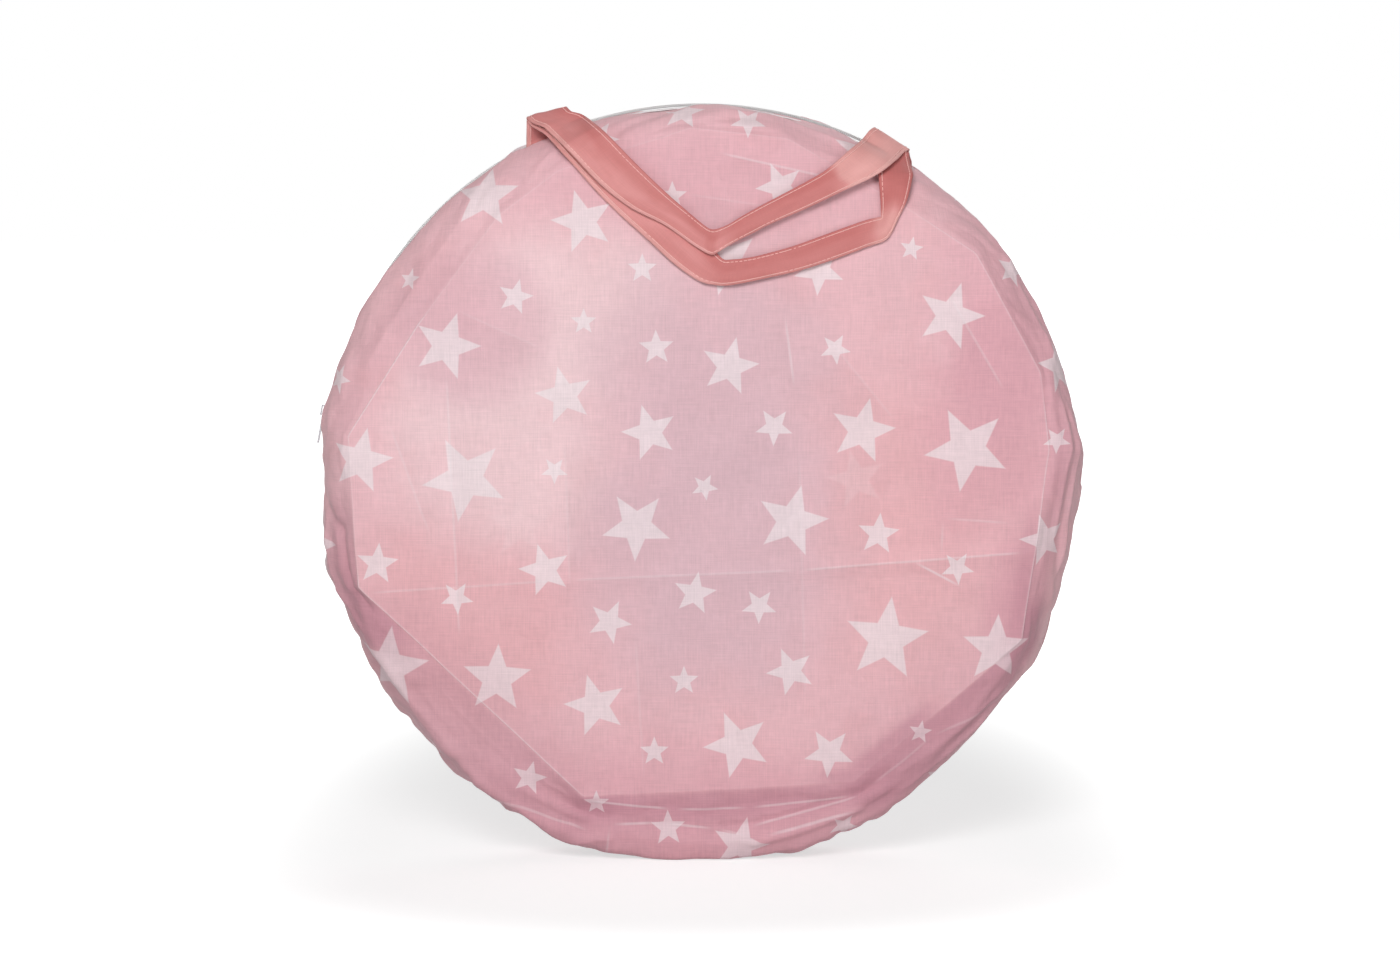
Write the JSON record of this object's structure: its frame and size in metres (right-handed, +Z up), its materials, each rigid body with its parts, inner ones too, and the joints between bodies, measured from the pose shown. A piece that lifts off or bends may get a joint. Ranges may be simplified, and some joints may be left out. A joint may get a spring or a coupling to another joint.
{
  "type": "round zip carry bag",
  "caption": "Round flat carry bag of pink star-print cloth with a zip over its upper rim and strap handles, standing on edge, holding a folded pop-up tent frame.",
  "frame": {"origin": "middle of the flattened foot that the bag stands on", "axes": "+X to the viewer's right, +Y from the front panel to the back panel, +Z up"},
  "size_m": [0.4725, 0.073, 0.4666],
  "materials": {
    "star_print_cloth": "satin",
    "strap_cloth": "satin",
    "zip_tape_cloth": "matte",
    "zip_coil_plastic": "gloss",
    "zip_metal": "plated",
    "spring_steel": "drawn",
    "sleeve_cloth": "matte",
    "tent_cloth": "satin"
  },
  "bodies": {
    "bag": {"front_panel": "star_print_cloth", "back_panel": "star_print_cloth", "rim_binding": "zip_tape_cloth", "zip_tape_front": "zip_tape_cloth", "zip_tape_back": "zip_tape_cloth", "zip_coil_front": "zip_coil_plastic", "zip_coil_back": "zip_coil_plastic", "zip_top_stop_front": "zip_metal", "zip_top_stop_back": "zip_metal", "zip_bottom_stop": "zip_metal", "handle_front_end_left": "strap_cloth", "handle_front_end_right": "strap_cloth", "handle_back_end_left": "strap_cloth", "handle_back_end_right": "strap_cloth", "hoop_wire_1": "spring_steel", "hoop_sleeve_1": "sleeve_cloth", "hoop_ferrule_1": "zip_metal", "tent_cloth_1": "tent_cloth", "hoop_wire_2": "spring_steel", "hoop_sleeve_2": "sleeve_cloth", "hoop_ferrule_2": "zip_metal", "tent_cloth_2": "tent_cloth", "hoop_wire_3": "spring_steel", "hoop_sleeve_3": "sleeve_cloth", "hoop_ferrule_3": "zip_metal", "tent_cloth_3": "tent_cloth"},
    "zip_slider": {"zip_slider": "zip_metal"},
    "zip_pull": {"zip_pull": "zip_metal"},
    "back_handle": {"handle_back": "strap_cloth"},
    "front_handle": {"handle_front": "strap_cloth"}
  },
  "joints": [
    {"name": "zip_run", "type": "hinge", "parent": "bag", "child": "zip_slider", "pos_m": [0, 0, 0.2319], "axis": [0, 1, 0], "range_deg": [0, 157]},
    {"name": "pull_swing", "type": "hinge", "parent": "zip_slider", "child": "zip_pull", "pos_m": [-0.23276, 0, 0.27714], "axis": [0, 1, 0], "range_deg": [0, 165]},
    {"name": "back_handle_swing", "type": "hinge", "parent": "bag", "child": "back_handle", "pos_m": [-0.09437, -0.0125, 0.462], "axis": [-0.9986, 0, 0.0523], "range_deg": [0, 140]},
    {"name": "front_handle_swing", "type": "hinge", "parent": "bag", "child": "front_handle", "pos_m": [-0.09437, -0.0125, 0.462], "axis": [-0.9986, 0, 0.0523], "range_deg": [0, 140]}
  ],
  "couplings": [
    {"joint": "front_handle_swing", "follows": "back_handle_swing", "ratio": 1}
  ]
}
